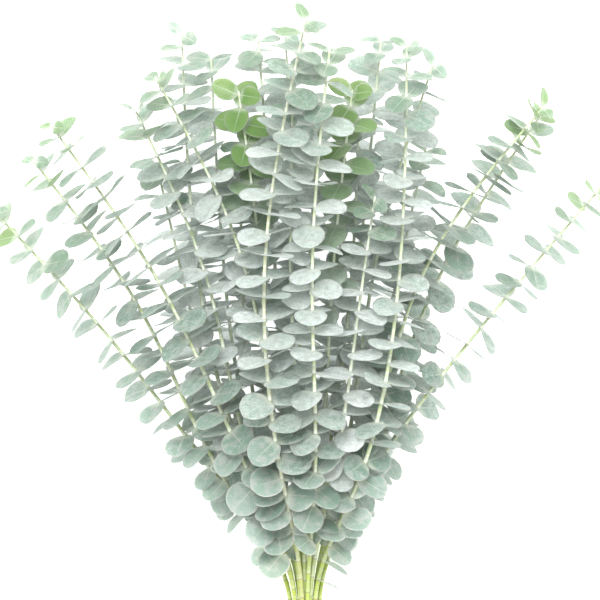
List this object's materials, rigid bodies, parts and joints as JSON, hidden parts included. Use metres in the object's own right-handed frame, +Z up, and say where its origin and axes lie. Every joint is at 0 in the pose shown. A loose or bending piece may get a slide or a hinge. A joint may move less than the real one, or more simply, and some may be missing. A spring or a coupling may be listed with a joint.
{
  "type": "eucalyptus bunch",
  "caption": "Gathered bunch of leafy eucalyptus branches with opposite pairs of round grey-green leaves, held at the bare stems by a flat band and lying down.",
  "frame": {"origin": "under the middle of the bunch's bounding box, on the surface it lies on", "axes": "+Y along the stems from the cut ends to the tips, +Z up off the surface, +X to the right seen from above with the tips up"},
  "size_m": [0.6466, 0.696, 0.1517],
  "materials": {
    "eucalyptus": "waxy matte grey-green leaf on pale green stem",
    "band": "woven natural fibre"
  },
  "bodies": {
    "root": {"branch_left_1": "eucalyptus", "branch_left_2": "eucalyptus", "branch_left_3": "eucalyptus", "branch_left_4": "eucalyptus", "branch_left_5": "eucalyptus", "branch_left_6": "eucalyptus", "branch_left_7": "eucalyptus", "branch_left_8": "eucalyptus", "branch_centre_1": "eucalyptus", "branch_centre_2": "eucalyptus", "branch_centre_3": "eucalyptus", "branch_centre_4": "eucalyptus", "branch_centre_5": "eucalyptus", "branch_right_1": "eucalyptus", "branch_right_2": "eucalyptus", "branch_right_3": "eucalyptus", "branch_right_4": "eucalyptus", "branch_right_5": "eucalyptus", "branch_right_6": "eucalyptus", "branch_inner_1": "eucalyptus", "branch_inner_2": "eucalyptus", "branch_inner_3": "eucalyptus", "branch_inner_4": "eucalyptus", "branch_inner_5": "eucalyptus", "branch_inner_6": "eucalyptus", "branch_inner_7": "eucalyptus", "binding_band": "band"}
  },
  "joints": []
}
